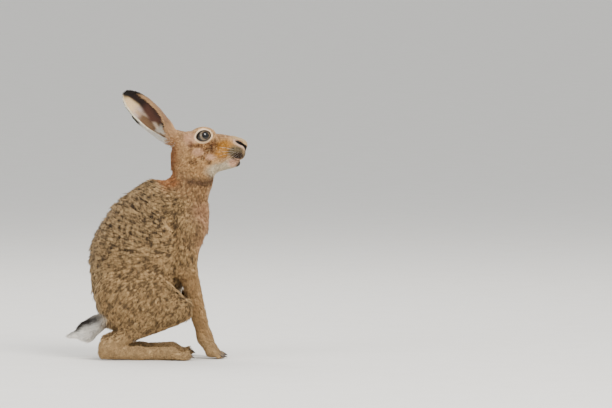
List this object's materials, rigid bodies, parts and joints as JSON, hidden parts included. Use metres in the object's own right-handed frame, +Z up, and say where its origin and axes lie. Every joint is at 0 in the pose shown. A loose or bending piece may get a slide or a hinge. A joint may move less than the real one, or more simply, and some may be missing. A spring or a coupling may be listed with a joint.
{
  "type": "brown hare",
  "caption": "Life-size still model of a brown hare sitting up on its haunches with chin raised and long ears laid back; stands on its own feet as a display figure.",
  "frame": {"origin": "on the floor under the centre of the whole model's box", "axes": "+X the way the hare faces, +Y its left side, +Z up"},
  "size_m": [0.2948, 0.1754, 0.4295],
  "materials": {
    "coat_back": "short dense fur, grizzled dark brown and buff",
    "coat_face": "very short tan fur, mottled",
    "coat_rufous": "soft rusty orange-brown fur",
    "coat_legs": "short rusty buff fur",
    "coat_pale": "soft cream white fur",
    "ear": "thin skin under very short fur, black at the tip",
    "tail": "long soft fur, black above and white below",
    "lid": "short cream fur with a dark bare rim",
    "nose": "short dark fur and bare moist skin",
    "eye": "wet gloss, amber brown iris and dark pupil",
    "claw": "dark horn, semi-gloss",
    "whisker": "stiff pale hairs"
  },
  "bodies": {
    "root": {"ear_left": "ear", "ear_right": "ear", "eye_left": "eye", "eye_right": "eye", "eyelids_left": "lid", "eyelids_right": "lid", "forearm_left": "coat_legs", "forearm_right": "coat_legs", "forepaw_left": "coat_legs", "forepaw_right": "coat_legs", "head": "coat_face", "hind_foot_left": "coat_legs", "hind_foot_right": "coat_legs", "lower_jaw": "coat_pale", "muzzle": "coat_face", "neck": "coat_rufous", "tail": "tail", "thigh_left": "coat_back", "thigh_right": "coat_back", "torso": "coat_back", "upper_foreleg_left": "coat_back", "upper_foreleg_right": "coat_back"}
  },
  "joints": []
}
